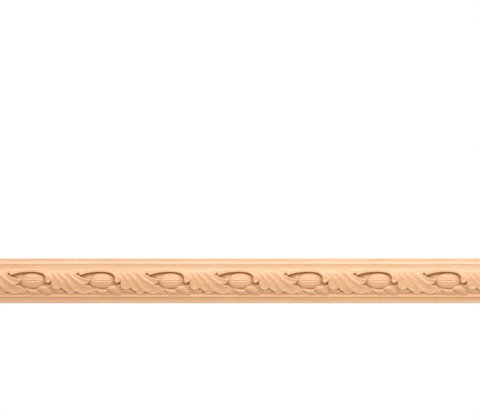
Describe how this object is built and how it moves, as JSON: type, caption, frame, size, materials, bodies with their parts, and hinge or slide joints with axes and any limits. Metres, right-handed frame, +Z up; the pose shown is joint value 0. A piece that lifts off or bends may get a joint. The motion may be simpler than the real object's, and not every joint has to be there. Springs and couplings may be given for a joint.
{
  "type": "carved wood moulding",
  "caption": "Length of carved hardwood moulding: fluted leaves curl over ribbed seed pods in a repeating pattern between hollow edges, with a flat back for fixing.",
  "frame": {"origin": "middle of the flat back, halfway along the length and halfway across the width", "axes": "+X along the length, +Y out of the flat back (the carved front faces -Y), +Z up across the width, towards the wide hollow edge"},
  "size_m": [0.536, 0.0104, 0.05],
  "materials": {
    "beech": "sanded and carved beech, smooth with a soft sheen, no varnish"
  },
  "bodies": {
    "root": {"carved_moulding": "beech"}
  },
  "joints": []
}
